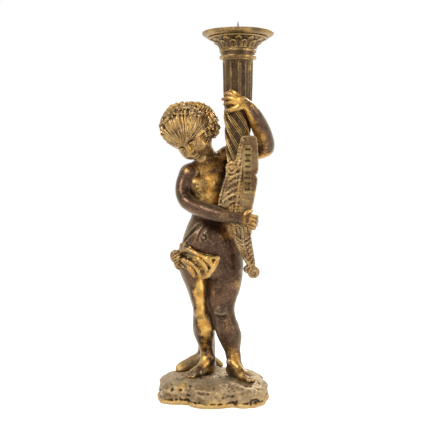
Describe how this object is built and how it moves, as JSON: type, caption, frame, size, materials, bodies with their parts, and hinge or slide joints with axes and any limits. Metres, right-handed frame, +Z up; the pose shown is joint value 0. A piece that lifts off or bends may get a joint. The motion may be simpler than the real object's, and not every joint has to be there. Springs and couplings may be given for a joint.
{
  "type": "figural candlestick",
  "caption": "Cast bronze candlestick: a draped figure on a rocky mound holds a fluted column with a lift-off drip pan and a pricket, and a stringed instrument.",
  "frame": {"origin": "middle of the rest face under the rocky mound", "axes": "+Z up to the pricket's tip, -Y towards the figure's front, +X to the right seen from the front, where the column stands"},
  "size_m": [0.152, 0.1358, 0.4963],
  "materials": {
    "patinated_bronze": "dark brown patina, rubbed on the high places",
    "gilt_bronze": "worn gilding over brown bronze",
    "steel": "dull steel",
    "iron": "blackened iron"
  },
  "bodies": {
    "stand": {"base_mound": "gilt_bronze", "closing_plate": "iron", "plate_screws": "steel", "foot_washers": "steel", "foot_screws": "steel", "figure_right_leg": "patinated_bronze", "figure_left_leg": "patinated_bronze", "figure_trunk": "patinated_bronze", "figure_head": "patinated_bronze", "figure_right_arm": "patinated_bronze", "figure_left_arm": "patinated_bronze", "hip_dowels": "steel", "shoulder_dowels": "steel", "neck_dowel": "steel", "loincloth": "gilt_bronze", "loincloth_knot": "gilt_bronze", "tree_stump": "gilt_bronze", "column_shaft": "patinated_bronze", "column_tip": "patinated_bronze", "tie_rod": "steel", "arm_screw": "steel", "lower_collar": "gilt_bronze", "collar_neck": "patinated_bronze", "upper_collar": "gilt_bronze", "capital": "gilt_bronze", "rod_washer": "steel", "rod_nut": "steel", "instrument_body": "gilt_bronze", "instrument_neck": "gilt_bronze", "instrument_key_bar": "gilt_bronze", "instrument_keys": "patinated_bronze", "instrument_rosette": "gilt_bronze", "instrument_pins": "steel"},
    "pan_unit": {"drip_pan": "gilt_bronze", "pricket": "steel", "pricket_nut": "steel"}
  },
  "joints": [
    {"name": "pan_lift", "type": "slide", "parent": "stand", "child": "pan_unit", "axis": [0, 0, 1], "range_m": [0, 0.03]}
  ]
}
